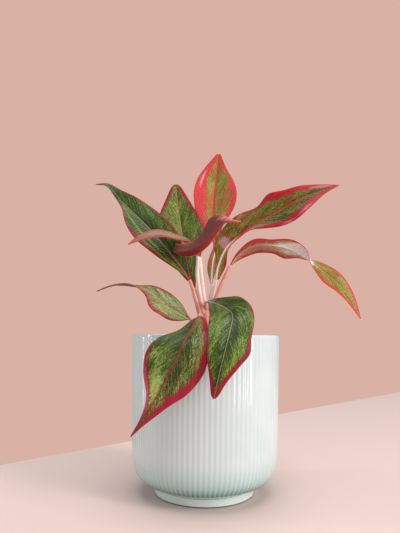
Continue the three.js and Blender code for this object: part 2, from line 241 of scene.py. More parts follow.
def new_group(name, inputs):
    """An empty node group that gives a colour, a roughness and a height.

    Each input has a name and a default, which is a number, or a triple for a colour off a screen.
    """
    tree = bpy.data.node_groups.new(name, "ShaderNodeTree")
    graph = Graph(tree)
    for key, default in inputs.items():
        kind = "NodeSocketColor" if isinstance(default, tuple) else "NodeSocketFloat"
        socket = tree.interface.new_socket(key, in_out="INPUT", socket_type=kind)
        socket.default_value = linear(default)
    for key in ("Color", "Roughness", "Height"):
        kind = "NodeSocketColor" if key == "Color" else "NodeSocketFloat"
        tree.interface.new_socket(key, in_out="OUTPUT", socket_type=kind)
    return graph, graph.add("NodeGroupInput").outputs


def new_material(name, group, values, principled, bump):
    """A material: the group gives colour, roughness and height, and the Principled shader the rest.

    Bump is the strength of the relief and the height in metres that it stands for.
    """
    material = bpy.data.materials.new(name)
    material.use_nodes = True
    graph = Graph(material.node_tree)
    effect = graph.add("ShaderNodeGroup", node_tree=group)
    for key, value in values.items():
        effect.inputs[key].default_value = linear(value)
    relief = graph.add("ShaderNodeBump", {
        "Strength": bump[0], "Distance": bump[1], "Height": effect.outputs["Height"]})
    shader = graph.add("ShaderNodeBsdfPrincipled", {
        "Base Color": effect.outputs["Color"], "Roughness": effect.outputs["Roughness"],
        "Normal": relief.outputs["Normal"], **principled})
    graph.add("ShaderNodeOutputMaterial", {"Surface": shader.outputs[0]})
    return material


print("middle grey made linear:", round(srgb(128, 128, 128)[0], 3))

# %% [markdown]
# ## Camera, floor and light
#
# The picture is taken level with the pot's rim from close by, so the pot shows neither its soil nor
# its foot's underside. The lens is shifted up a little instead of tilted, which keeps upright lines
# upright. The picture also leans by half a degree.
#
# A plain table top and an even background stand for the room. The soft main lamp comes from the
# right, so the pot goes from light grey on its left to white on its right. An upright wall mirrors only
# what stands level with it, so two weak, narrow strips stand on the table close to the pot, and they
# draw the thin bright lines on the reeds.

# %% Camera, floor and lamps
CAMERA_PLACE = (-0.0055, -0.445, 0.150)
CAMERA_LEAN = math.radians(0.55)
SENSOR = 36.0
PICTURE_HEIGHT = 533.0  # pixels
FOCAL_PIXELS = 461.2
HORIZON_BELOW_MIDDLE = 68.1  # pixels

camera_data = bpy.data.cameras.new("camera")
camera_data.sensor_width = SENSOR
camera_data.lens = FOCAL_PIXELS / PICTURE_HEIGHT * SENSOR
camera_data.shift_y = HORIZON_BELOW_MIDDLE / PICTURE_HEIGHT
camera_data.clip_start = 0.01
camera = bpy.data.objects.new("camera", camera_data)
camera.location = CAMERA_PLACE
camera.rotation_euler = (math.radians(90), -CAMERA_LEAN, 0)
bpy.context.scene.collection.objects.link(camera)
bpy.context.scene.camera = camera
bpy.context.scene.view_settings.view_transform = "Standard"


def lamp(name, place_at, aim, size, watts, color):
    """An oblong soft lamp at a place, that shines at a point: its -Z axis is turned to that point."""
    data = bpy.data.lights.new(name, "AREA")
    data.shape = "RECTANGLE"
    data.size, data.size_y = size
    data.energy = watts
    data.color = color
    light = bpy.data.objects.new(name, data)
    light.location = place_at
    away = np.subtract(aim, place_at)
    flat = math.hypot(away[0], away[1])
    light.rotation_euler = (math.atan2(flat, -away[2]), 0, math.atan2(-away[0], away[1]))
    bpy.context.scene.collection.objects.link(light)


MIDDLE = (0, 0, 0.18)
STRIP_LEVEL = 0.17  # a strip and the point that it shines at are level, so it stands upright
STRIP_LENGTH = 0.34
NEUTRAL = (1.0, 1.0, 1.0)
lamp("lamp_right", (1.9, -1.24, 1.0), MIDDLE, (0.52, 2.0), 33.0, (1.0, 0.995, 0.985))
lamp("lamp_left", (-2.2, 0.1, 0.9), MIDDLE, (0.2, 1.8), 5.6, (0.97, 0.99, 1.0))
lamp("strip_right", (0.52, -0.34, STRIP_LEVEL), (0, 0, STRIP_LEVEL), (0.045, STRIP_LENGTH), 0.5, NEUTRAL)
lamp("strip_left", (-0.60, 0.03, STRIP_LEVEL), (0, 0, STRIP_LEVEL), (0.02, STRIP_LENGTH), 0.3, NEUTRAL)
lamp("lamp_top", (0.1, -0.4, 2.4), MIDDLE, (1.8, 1.8), 27.0, NEUTRAL)

world = bpy.data.worlds.new("room")
bpy.context.scene.world = world
world.use_nodes = True
graph = Graph(world.node_tree)
seen = graph.add("ShaderNodeBackground", {"Color": srgb(217, 178, 165), "Strength": 1.0})
felt = graph.add("ShaderNodeBackground", {"Color": srgb(236, 239, 240), "Strength": 0.50})
rays = graph.add("ShaderNodeLightPath")
room = graph.add("ShaderNodeMixShader", {
    0: rays.outputs["Is Camera Ray"], 1: felt.outputs[0], 2: seen.outputs[0]})
graph.add("ShaderNodeOutputWorld", {"Surface": room.outputs[0]})

TABLE_EDGE = (-230.8, 77.9)  # a point on the far edge, in mm
EDGE_WAY = (0.728, 0.686)  # the way that the edge runs
FRONT_WAY = (0.686, -0.728)  # square to it, towards the camera
FLOOR_ENDS = (-1400, 1800)  # mm along the edge
FLOOR_DEPTH = 1500  # mm
FLOOR_DROP = 0.05  # mm that it lies below the pot's foot
left_end, right_end = FLOOR_ENDS
corners = [np.add(TABLE_EDGE, np.multiply(EDGE_WAY, a) + np.multiply(FRONT_WAY, b))
           for a, b in ((left_end, 0), (left_end, FLOOR_DEPTH), (right_end, FLOOR_DEPTH), (right_end, 0))]
floor = new_piece("floor", [(*corner, -FLOOR_DROP) for corner in corners], [[0, 1, 2, 3]])
floor_paint = bpy.data.materials.new("floor_paint")
floor_paint.use_nodes = True
floor_shader = floor_paint.node_tree.nodes["Principled BSDF"]
floor_shader.inputs["Base Color"].default_value = srgb(233, 207, 200)
floor_shader.inputs["Roughness"].default_value = 0.8
floor_shader.inputs["Specular IOR Level"].default_value = 0.15
floor.data.materials.append(floor_paint)
print("camera lens in mm:", round(camera_data.lens, 2))

# %% [markdown]
# ## The pot
#
# The pot is one thrown and fluted cup in white stoneware. 96 rounded reeds run down its wall, fade out
# under the turn, and stop below a smooth lip. It could be a turned profile with a bump for the reeds,
# but a bump leaves the outline smooth, so the reeds are real geometry: the radius of each ring falls
# by half a cosine wave between two neighbours, which is how a thick glaze softens a groove.
#
# The glaze is a pale celadon. It runs off the ridges and pools in the grooves and above the foot,
# where it looks green, so the depth of each point in its groove is stored for the material. The foot
# is painted paler, for its thinner glaze and as painted light that lifts the shade under the turn. Its
# lower edge is painted dark, as bare clay together with a painted contact shadow.

# %% Shape of the pot
POT_HEIGHT = 150.0
POT_RADIUS = 70.0
WALL_FOOT = (69.2, 42.3)  # radius and height where the straight wall turns in
WALL_ROWS = 12
TURN_HANDLES = ((59.1, 14.0), (69.2, 13.5))
TURN_ROWS = 26
FOOT_RADIUS = 47.6
FOOT_HEIGHT = 8.0
FOOT_ROUND = 1.6
FOOT_LEDGE = 0.4  # the turn starts this much outside the foot's wall
REEDS = 96
REED_DEPTH = 0.24  # mm, after the glaze has filled the grooves
REED_START = 0.45  # share of the turn over which the reeds rise
REED_FADE = 1.0  # mm below the lip in which they run out
REED_FADE_ROWS = 5
POINTS_PER_REED = 8
TINT_SPREAD = 0.7  # below 1, the stored depth reaches further up a groove's sides
LIP_HEIGHT = 2.6
LIP_ROUND = 0.9
WALL = 4.6
POT_FLOOR = 9.0
CAVITY_RADIUS = POT_RADIUS - WALL
CAVITY_WALL_BOTTOM = 46.3
CAVITY_TURN = (59.4, 24.0)  # a point of the inside between its floor and its wall
CAVITY_FLOOR_RADIUS = 40.6
CENTRE = 0.3  # mm, radius of the small cap in the middle of a turned piece


def bezier(a, b, c, d, count):
    """Points on the curve from a to d with handles b and c: each is a weighted mean of the four."""
    t = np.linspace(0, 1, count)[:, None]
    a, b, c, d = (np.array(p, float) for p in (a, b, c, d))
    return (1 - t) ** 3 * a + 3 * (1 - t) ** 2 * t * b + 3 * (1 - t) * t**2 * c + t**3 * d


def arc(middle, radius, start, end, count):
    """Points on a circle's arc, by angles in degrees from straight out, rising."""
    angle = np.radians(np.linspace(start, end, count))
    return np.stack([middle[0] + radius * np.cos(angle), middle[1] + radius * np.sin(angle)], axis=1)


lip_bottom = POT_HEIGHT - LIP_HEIGHT
lip_middle = POT_HEIGHT - LIP_ROUND
foot = np.concatenate([[(CENTRE, 0.0), (FOOT_RADIUS * 0.6, 0.0)],  # two rows of the flat underside
                       arc((FOOT_RADIUS - FOOT_ROUND, FOOT_ROUND), FOOT_ROUND, -90, 0, 7),
                       [(FOOT_RADIUS, FOOT_HEIGHT / 2), (FOOT_RADIUS, FOOT_HEIGHT - FOOT_LEDGE)]])
turn = bezier((FOOT_RADIUS + FOOT_LEDGE, FOOT_HEIGHT), *TURN_HANDLES, WALL_FOOT, TURN_ROWS)
wall_height = np.linspace(WALL_FOOT[1], lip_bottom - 1.2 * REED_FADE, WALL_ROWS)[1:]
wall_radius = np.interp(wall_height, [WALL_FOOT[1], lip_bottom], [WALL_FOOT[0], POT_RADIUS])
wall = np.stack([wall_radius, wall_height], axis=1)
fade_height = np.linspace(lip_bottom - REED_FADE, lip_bottom, REED_FADE_ROWS)
fade = np.stack([np.full(REED_FADE_ROWS, POT_RADIUS), fade_height], axis=1)
lip = np.concatenate([arc((POT_RADIUS - LIP_ROUND, lip_middle), LIP_ROUND, 0, 90, 6),
                      arc((CAVITY_RADIUS + LIP_ROUND, lip_middle), LIP_ROUND, 90, 180, 6)])
inside = np.array([(CAVITY_RADIUS, height) for height in (142.0, 110.0, CAVITY_WALL_BOTTOM)]
                  + [CAVITY_TURN, (CAVITY_FLOOR_RADIUS, POT_FLOOR), (CENTRE, POT_FLOOR)])
stretches = [(foot, np.zeros(len(foot))),
             (turn, smoothstep(np.linspace(0, 1, TURN_ROWS), 0.0, REED_START)),
             (wall, np.ones(len(wall))),
             (fade, np.sqrt(1 - np.linspace(0.1, 1, REED_FADE_ROWS) ** 2)),
             (lip, np.zeros(len(lip))),
             (inside, np.zeros(len(inside)))]
profile = np.concatenate([points for points, _ in stretches])
reed_share = np.concatenate([share for _, share in stretches])

around = REEDS * POINTS_PER_REED
angle = 2 * math.pi * np.arange(around) / around
across_reed = np.abs((np.arange(around) / POINTS_PER_REED + 0.5) % 1 - 0.5) * 2  # 0 on a ridge, 1 in a groove
groove = (1 - np.cos(math.pi * across_reed)) / 2
radius = profile[:, :1] - REED_DEPTH * reed_share[:, None] * groove[None]
pot_points = np.stack([radius * np.cos(angle), radius * np.sin(angle),
                       np.broadcast_to(profile[:, 1:], radius.shape)], axis=-1)
on_turn = (profile[:, 1] > FOOT_HEIGHT) & (profile[:, 1] < WALL_FOOT[1])  # tinted before the reeds rise
depth = np.maximum(reed_share, on_turn)[:, None] * groove[None] ** TINT_SPREAD
faces = ring_quads(len(profile), around) + end_caps(len(profile), around)
pot = new_piece("glazed_pot", pot_points, faces, {"groove": depth})
print("pot rings:", len(profile), "points round:", around)

# %% Glaze
# Painted light: the foot gets a paler glaze colour than the wall, for its thinner glaze and to lift the shade
# under the turn.
FOOT_GLAZE_AND_PAINTED_LIGHT = srgb(226, 244, 238)
# Painted shadow: a dark brown grey for the foot's lowest edge, standing for bare clay and the contact shadow
# on the table.
CLAY_AND_PAINTED_SHADOW = srgb(104, 94, 88)

g, given = new_group(
    "pooled_glaze",
    {"White": (214, 223, 224), "Celadon": (136, 184, 174), "Deep": (30, 104, 98), "Pool": 0.08})
place_in = g.add("ShaderNodeTexCoord").outputs["Object"]
z = g.add("ShaderNodeSeparateXYZ", {0: place_in}).outputs["Z"]


def by_height(low, high, start=0.0, end=1.0):
    """An S-shaped change from start to end between two heights over the table, in millimetres."""
    return g.ramp(z, low * MM, high * MM, start, end)


groove_value = g.value("groove")
low = by_height(46.0, 8.0)
cloud = g.noise(place_in, 35.0, 3.0)
share = g.plus(given["Pool"], g.times(low, 0.35))
pool = g.times(groove_value, share, clamp=True)
pool = g.plus(pool, g.times(low, 0.6), clamp=True)
pool = g.times(pool, by_height(7.0, 8.5, 0.25, 1.0))
tinted = g.mix(pool, given["White"], given["Celadon"])
# Painted light on the foot: its paler colour lifts the shade that the turn casts on it.
tinted = g.mix(by_height(8.4, 7.4), tinted, FOOT_GLAZE_AND_PAINTED_LIGHT)
deep = g.times(by_height(24.0, 9.6), by_height(7.4, 8.0))
deep = g.times(deep, g.plus(0.55, g.times(groove_value, 0.55)), clamp=True)
tinted = g.mix(deep, tinted, given["Deep"])
tinted = g.mix(g.ramp(cloud, 0.35, 0.75, 0.0, 0.10), tinted, given["Celadon"])
# Painted shadow: the lowest edge of the foot is darkened, as bare clay and the contact shadow where the pot
# meets the table.
clay_and_shadow = by_height(1.6, 0.8)
tinted = g.mix(clay_and_shadow, tinted, CLAY_AND_PAINTED_SHADOW)
rough = g.plus(g.ramp(cloud, 0.3, 0.8, 0.05, 0.10), g.times(clay_and_shadow, 0.5))
wavy = g.noise(place_in, 60.0, 1.0)
g.add("NodeGroupOutput", {"Color": tinted, "Roughness": rough, "Height": wavy})
glaze = new_material("celadon_glaze", g.tree, {},
                     {"Coat Weight": 0.3, "Coat Roughness": 0.05, "IOR": 1.5}, bump=(0.25, 0.0004))
place(pot, "pot", glaze)

# %% [markdown]
# ## Soil
#
# Potting mix is a crumbly dark bed, a little higher round the stem. Its top is a grid of rings whose
# height is a sum of small bumps, and several hundred crumbs and a few pale grains of perlite lie on it.
# A crumb is a ball of 35 corners pushed in and out at random, so no two are alike. Every set of random
# numbers has its own seed, so the bed is the same each time.

# %% Soil bed and crumbs
SOIL_LEVEL = 137.0
SOIL_CROWN = 4.0  # the bed stands this much higher by the stem
SOIL_CROWN_RADIUS = 11.5
BED_SINK = 0.9  # the bed's even height lies this far below the solid's top
GAP = 0.3  # between pieces that touch
SOIL_RADIUS = CAVITY_RADIUS - GAP
SOIL_ROUND = 160  # points on each ring
SOIL_ROWS = 44
STEM_BOTTOM = 96.0
STEM_HOLE = 5.5
CALM_RADIUS = 12.0  # the bumps die out from here to the stem's hole
BUMPS = ((0.5, 14.0, 1), (0.35, 5.0, 2), (0.2, 2.4, 3))  # height and length in mm, and the seed
BUMP_WAVES = 9
BALL_SIDES = 7
BALL_RINGS = 5
BALL_ENDS = (0.12, 0.88)  # the first and the last ring, in half turns from the top
SQUEEZE = 0.55  # share of its size that a crumb has at least along each axis
WOBBLE = 0.3  # how far a corner moves in or out, as a share of the radius
CRUMB_MARGIN = 2.2  # mm that a crumb's middle keeps from the pot
FREE_AREA = 2.5  # times the area of the stem's hole, without crumbs


def bumps(x, y, length, seed):
    """A rolling height between about -1 and 1.

    It is the sum of waves of one length in random directions, divided by the root of their number.
    """
    draw = np.random.default_rng(seed)
    turn_by = draw.uniform(0, math.pi, BUMP_WAVES)
    shift = draw.uniform(0, 2 * math.pi, BUMP_WAVES)
    waves = [np.sin((x * math.cos(a) + y * math.sin(a)) * 2 * math.pi / length + s)
             for a, s in zip(turn_by, shift)]
    return sum(waves) / math.sqrt(BUMP_WAVES)


def bed_level(r):
    """The bed's even height at a distance from the axis: it falls in a straight line to the pot."""
    return np.interp(r, [SOIL_CROWN_RADIUS, SOIL_RADIUS], [SOIL_LEVEL + SOIL_CROWN, SOIL_LEVEL]) - BED_SINK


rows = np.concatenate([np.linspace(SOIL_RADIUS, SOIL_CROWN_RADIUS, SOIL_ROWS), [9.0, 7.0, STEM_HOLE]])
angle = np.linspace(0, 2 * math.pi, SOIL_ROUND, endpoint=False)
x = rows[:, None] * np.cos(angle)
y = rows[:, None] * np.sin(angle)
rough_height = sum(rise * bumps(x, y, length, seed) for rise, length, seed in BUMPS)
bumpy = smoothstep(rows, STEM_HOLE, CALM_RADIUS)[:, None]
top = np.stack([x, y, bed_level(rows)[:, None] + rough_height * bumpy], axis=-1)
ring = np.stack([np.cos(angle), np.sin(angle), np.zeros_like(angle)], axis=-1)
under = [(CENTRE, POT_FLOOR + GAP), (CAVITY_FLOOR_RADIUS - GAP, POT_FLOOR + GAP),
         (CAVITY_TURN[0] - GAP, CAVITY_TURN[1] + GAP), (SOIL_RADIUS, CAVITY_WALL_BOTTOM)]
hole = [(STEM_HOLE, STEM_BOTTOM - GAP), (CENTRE, STEM_BOTTOM - GAP)]
below, well = ([ring * r + (0, 0, h) for r, h in places] for places in (under, hole))
stack = np.concatenate([below, top, well])
soil = new_piece("soil_bed", stack, ring_quads(len(stack), SOIL_ROUND) + end_caps(len(stack), SOIL_ROUND))


def lumps(count, smallest, largest, seed):
    """Small stones strewn on the bed, with radii in millimetres.

    Each is one ball of rings, squeezed by its own share along each axis, with every corner moved in or
    out, and turned about the y axis. Distances from the axis are square roots of even random numbers,
    which spreads the stones evenly over the bed.
    """
    draw = np.random.default_rng(seed)
    v = np.linspace(*BALL_ENDS, BALL_RINGS) * math.pi
    u = np.arange(BALL_SIDES) / BALL_SIDES * 2 * math.pi
    ball = np.stack([np.sin(v)[:, None] * np.cos(u), np.sin(v)[:, None] * np.sin(u),
                     np.repeat(np.cos(v)[:, None], BALL_SIDES, axis=1)], axis=-1).reshape(-1, 3)
    r = np.sqrt(draw.uniform(STEM_HOLE**2 * FREE_AREA, (SOIL_RADIUS - CRUMB_MARGIN) ** 2, count))
    a = draw.uniform(0, 2 * math.pi, count)
    size = draw.uniform(smallest, largest, count)
    middle = np.stack([r * np.cos(a), r * np.sin(a), bed_level(r) + size / 4], axis=-1)
    squeeze = draw.uniform(SQUEEZE, 1.0, (count, 1, 3)) * size[:, None, None]
    wobble = 1 + draw.uniform(-WOBBLE, WOBBLE, (count, len(ball), 1))
    spin = draw.uniform(0, 2 * math.pi, count)
    c, s = np.cos(spin)[:, None], np.sin(spin)[:, None]
    x, y, z = np.moveaxis(ball[None] * wobble * squeeze, -1, 0)
    points = np.stack([x * c - z * s, y, x * s + z * c], axis=-1) + middle[:, None]
    start = np.arange(count)[:, None] * len(ball)
    quads = np.array(ring_quads(BALL_RINGS, BALL_SIDES))[:, ::-1]
    faces = (quads[None] + start[..., None]).reshape(-1, 4).tolist()
    for cap in end_caps(BALL_RINGS, BALL_SIDES):
        faces += (start + np.array(cap)[::-1]).tolist()
    return points.reshape(-1, 3), faces


crumbs = new_piece("soil_crumbs", *lumps(520, 0.7, 2.1, 11))
grains = new_piece("perlite_grains", *lumps(46, 0.8, 1.6, 12))

# %% Soil materials
PEAT_GLOSS = {"Specular IOR Level": 0.25}

g, given = new_group("crumbly_soil", {"Dark": (38, 27, 20), "Light": (92, 68, 50), "Scale": 260.0})
where = g.add("ShaderNodeTexCoord").outputs["Object"]
patch = g.noise(where, given["Scale"], 4.0, 0.65)
fibre = g.noise(g.scaled(where, (1.0, 0.35, 1.0)), g.times(given["Scale"], 2.2), 2.0)
earth = g.mix(g.ramp(patch, 0.42, 0.72), given["Dark"], given["Light"])
g.add("NodeGroupOutput", {"Color": earth, "Roughness": g.ramp(patch, 0.3, 0.7, 0.95, 0.8),
                          "Height": g.plus(patch, g.times(fibre, 0.5))})
potting_mix = new_material("potting_mix", g.tree, {}, PEAT_GLOSS, bump=(0.9, 0.001))
bark_crumb = new_material("bark_crumb", g.tree, {"Dark": (52, 35, 24), "Light": (116, 84, 58)},
                          PEAT_GLOSS, bump=(0.8, 0.0005))
perlite = new_material("perlite", g.tree,
                       {"Dark": (196, 190, 180), "Light": (232, 228, 220), "Scale": 500.0},
                       {"Specular IOR Level": 0.3}, bump=(0.6, 0.0003))
place(soil, "soil", potting_mix)
for piece, material in ((crumbs, bark_crumb), (grains, perlite)):
    piece.data.materials.append(material)
    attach(piece, "root")
    print(f"{piece.name}: {len(piece.data.vertices)} points")

# %% [markdown]
# ## The plant's lines
#
# Each leaf is a short list of values: the points of its stalk, the points of its rib, the way its upper
# side looks, and the width of its two halves from base to tip, all in millimetres. Lift is the slope
# at which a half leaves the rib, and curl is how far it bends on by its margin, both in degrees. Wave
# is the height of the margin's ripples, and blunt is the share of the length over which a tip is
# rounded.

# %% Stem, stalks and ribs
STEM_LINE = [(0, 0, STEM_BOTTOM), (0, 0, 141), (0, 0, 150), (-0.5, -1.5, 165), (-1.5, -2, 181)]
STEM_RADII = [5.2, 5.2, 5.2, 4.94, 3.12]
STALK_RADII = [2.5, 2.2, 1.9, 1.7]
LIFT = [15]  # for a half that has no lift of its own
CURL = [-10]
LEAVES = {
    "leaf_upper_left": dict(
        stalk=[(-4.5, -5, 165), (-9.5, -7, 182)],
        rib=[(-16.5, -9, 202.5), (-32.5, -9, 224.5), (-55, -3, 251), (-81.5, 6, 278), (-97, 11, 295.5),
             (-110.3, 12, 298)],
        face=[(-0.2, -0.75, 0.6), (-0.2, -0.8, 0.6), (-0.2, -0.8, 0.55), (-0.3, -0.8, 0.5)],
        left=[0.8, 8, 15, 18.5, 15, 5, 2.2, 0.4],
        right=[0.8, 10, 17.5, 18, 16.5, 12, 4.5, 0.4],
        wave=0.9),
    "leaf_upper_back": dict(
        stalk=[(-3, 2, 168), (-6, 3, 183.5)],
        rib=[(-11, 4, 195.5), (-18.5, 8, 217.5), (-23.3, 14, 244), (-28, 20, 272.5), (-31.5, 22, 302)],
        face=[(0.1, -0.9, 0.4), (0, -0.9, 0.45), (0.1, -0.85, 0.5)],
        left=[0.8, 8.5, 16, 20, 23, 20, 12, 3.4],
        right=[0.8, 7.5, 15, 22, 22.5, 17.5, 11, 3.4],
        blunt=0.04,
        wave=0.8),
    "leaf_centre_red": dict(
        stalk=[(0, 4, 170), (2.5, 6, 185)],
        rib=[(5, 8, 200), (6.5, 10, 220), (9.5, 15, 239.5), (7, 24, 270.5), (8, 28, 292.5),
             (10.5, 31, 319), (12, 30, 336)],
        face=[(0, -0.95, 0.3), (0, -0.9, 0.4), (0, -0.9, 0.45)],
        left=[0.8, 5, 4.5, 2.8, 10, 16.5, 20, 21.5, 19, 12, 2],
        right=[0.8, 3.5, 2.5, 1, 6.5, 15.5, 21.5, 23, 18.5, 9.5, 2],
        wave=0.9),
    "leaf_rolled": dict(
        stalk=[(0, -2, 171), (-2, -3, 186), (-5, -3, 210.5)],
        rib=[(-7, -3, 224), (-16.5, -9, 230), (-29, -18, 229), (-28, -27.5, 225), (-15, -32.5, 225.5),
             (-3.5, -35, 232), (7, -38, 242.5), (16.5, -39, 249.5), (29.5, -40, 249.5)],
        face=[(0, -1, 0.3), (0.2, -0.95, 0.3), (1, -0.1, 0.3), (0.6, 0.8, 0.3), (0.3, 0.95, 0.3),
              (0.2, 0.95, 0.4), (0.1, 0.95, 0.5), (0, 0.9, 0.6)],
        left=[0.8, 3.8, 5.4, 6, 6.5, 8, 9, 9, 7.5, 5, 2, 0.4],
        right=[0.8, 3.8, 5, 6, 7.5, 10, 11, 12.5, 16, 19, 4, 0.4],
        liftLeft=[10, 20, 30, 30],
        liftRight=[10, 20, 30, 25],
        curlLeft=[20, 40, 50, 60],
        curlRight=[20, 40, 50, 80]),
    "leaf_thin_left": dict(
        stalk=[(-2.5, -4, 169.5), (-5.5, -5, 186), (-8.5, -6, 206.5)],
        rib=[(-8.5, -9, 224.5), (-13.5, -17, 234.5), (-26.5, -23, 237), (-42, -29, 239),
             (-56.5, -33, 235.5), (-70, -36, 229.5)],
        face=[(-0.6, -0.3, 0.7), (-0.2, -0.25, 1), (0, -0.2, 1), (0, -0.25, 1)],
        left=[0.8, 3, 5.2, 8.5, 7, 4, 0.4],
        right=[0.8, 7, 12, 14, 13, 8, 0.4],
        liftLeft=[-5],
        liftRight=[30]),
    "leaf_right": dict(
        stalk=[(2, 4, 170), (5.5, 4, 185)],
        rib=[(9.5, 3, 204), (12.5, 2, 218.5), (19.5, 0, 234), (32, -3, 245.5), (43.5, -6, 254),
             (65.5, -12, 265.5), (86, -18, 276.5), (108, -22, 284), (120, -24, 287.5)],
        face=[(0, -0.95, 0.3), (0, -0.9, 0.4), (0, -0.85, 0.5)],
        left=[0.8, 3, 12, 17, 17, 15, 20.5, 15.5, 12.5, 7, 0.4],
        right=[3, 7, 3, 1.5, 3.5, 11.5, 18, 20, 15, 5.5, 0.4],
        wave=0.8),
    "leaf_right_drooping": dict(
        stalk=[(3.5, 0, 170), (8.5, -2, 183.5), (15, -5, 199.5)],
        rib=[(23, -9, 216), (32, -13, 227), (44.5, -19, 232.5), (58.5, -25, 231.5), (72, -31, 227.5),
             (88.5, -37, 218), (101.5, -42, 206), (114, -45, 195), (124, -46, 182), (133, -47, 165)],
        face=[(-0.3, 0.9, 0.2), (-0.2, 0.9, 0.4), (0, 0.8, 0.5), (0.1, 0.8, 0.5), (0.1, 0.85, 0.4),
              (0.4, 0.5, 0.9), (0.4, -0.8, 0.5), (0.4, -0.9, 0.3), (0.4, -0.8, 0.4), (0.4, -0.8, 0.5),
              (0.4, -0.8, 0.5)],
        left=[0.8, 7, 8.5, 8, 9.5, 5, 7, 9.5, 8.5, 5, 0.4],
        right=[0.8, 3, 6.2, 5.8, 9, 9.5, 7, 11.5, 10.5, 6, 0.4]),
    "leaf_lower_left": dict(
        stalk=[(-1, -4, 157), (-7, -12.5, 161.5)],
        rib=[(-15, -20, 164.5), (-26.5, -27, 171.5), (-39, -34, 180.5), (-51, -38, 189),
             (-64.5, -40, 192), (-81, -41, 192.5), (-96.5, -41, 187)],
        face=[(-0.1, -0.8, 0.6), (-0.1, -0.75, 0.6), (-0.1, -0.6, 0.8), (-0.2, 0, 1), (-0.2, 0.2, 1)],
        left=[0.8, 12, 19, 20, 12, 6, 2, 0.4],
        right=[0.8, 8.5, 11, 8, 5, 4, 2, 0.4],
        wave=0.7),
    "leaf_front_left": dict(
        stalk=[(-1.5, -4, 161), (-5, -20, 168)],
        rib=[(-6.5, -38, 166), (-10.5, -60, 158), (-17.5, -80, 144), (-25.5, -86, 128), (-33.5, -87, 111),
             (-44, -87, 92), (-59, -84, 69.5)],
        face=[(-0.2, -0.3, 1), (-0.2, -0.6, 0.8), (-0.2, -0.9, 0.3), (-0.2, -0.95, 0.2), (-0.2, -1, 0)],
        left=[0.8, 9.5, 15, 22.5, 24.5, 20.5, 11, 4.5, 0.4],
        right=[0.8, 5, 10, 19, 24, 19.5, 7, 2.2, 0.4],
        liftLeft=[15, 10, -2, -4, 0, 5],
        wave=0.9),
    "leaf_front_right": dict(
        stalk=[(0, 0, 172), (-0.5, -8, 178)],
        rib=[(0.5, -18, 181), (10, -38, 177), (18, -59, 171), (20.5, -78, 164.5), (17, -92, 151),
             (13.5, -98, 138), (9, -98, 119), (5.5, -94, 101)],
        face=[(-0.2, -0.5, 1), (-0.2, -0.6, 0.9), (0, -0.9, 0.7), (0.1, -1, 0.3), (0.1, -1, 0.1),
              (0.1, -1, 0)],
        left=[0.8, 6.5, 10.5, 14.8, 16, 17, 17.3, 19.5, 13.8, 7.2, 2.2],
        right=[0.8, 5, 11.5, 17.5, 19.3, 19.3, 17.5, 15, 11.5, 6.2, 2.2],
        blunt=0.03,
        liftLeft=[20, 30, 30, 5, -6, -6],
        liftRight=[-8, -8, -10, -14, -14, -10]),
}
